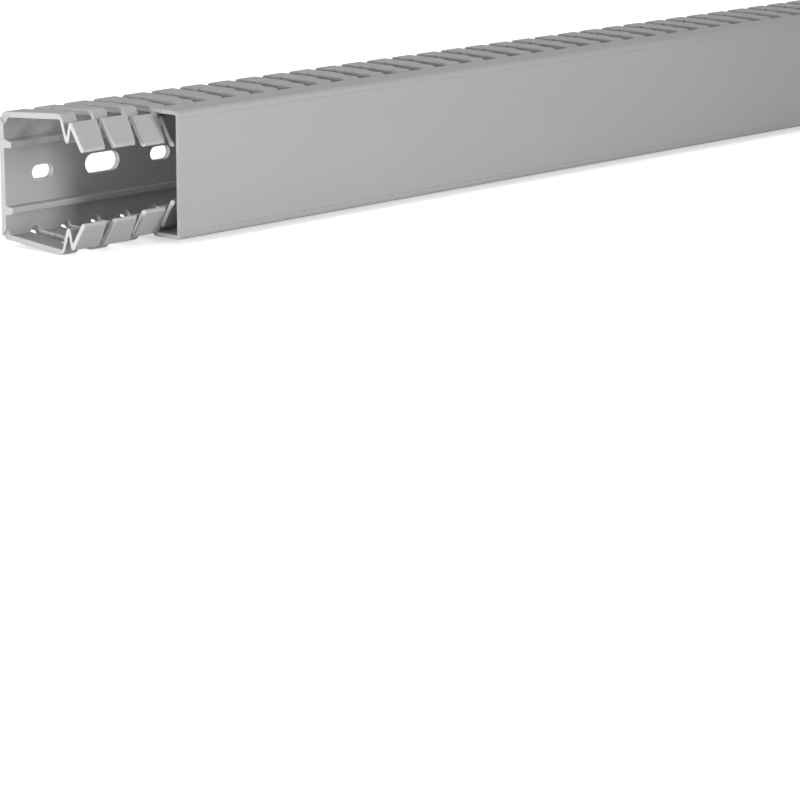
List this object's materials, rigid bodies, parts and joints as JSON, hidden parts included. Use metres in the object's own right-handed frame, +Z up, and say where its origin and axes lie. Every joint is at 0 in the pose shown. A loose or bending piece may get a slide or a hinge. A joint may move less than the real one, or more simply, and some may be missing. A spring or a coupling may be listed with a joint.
{
  "type": "slotted wire duct",
  "caption": "Grey plastic slotted wire duct on its side: U-shaped base with L-shaped fingers folded into snap heads, and a flat clip-on cover slid along to leave the first fingers open.",
  "frame": {"origin": "middle of the base's back face: halfway along the base, on its mid-line", "axes": "+X along the duct, from the end with the open fingers to the end the cover overhangs; +Y out of the back face, towards the panel it is screwed to; +Z up, square to one slotted side"},
  "size_m": [0.5376, 0.04, 0.0434],
  "materials": {
    "grey_pvc": "matte"
  },
  "bodies": {
    "base": {"slotted_base": "grey_pvc"},
    "cover": {"cover": "grey_pvc"}
  },
  "joints": [
    {"name": "cover_slide", "type": "slide", "parent": "base", "child": "cover", "axis": [1, 0, 0], "range_m": [0, 0.46]}
  ]
}
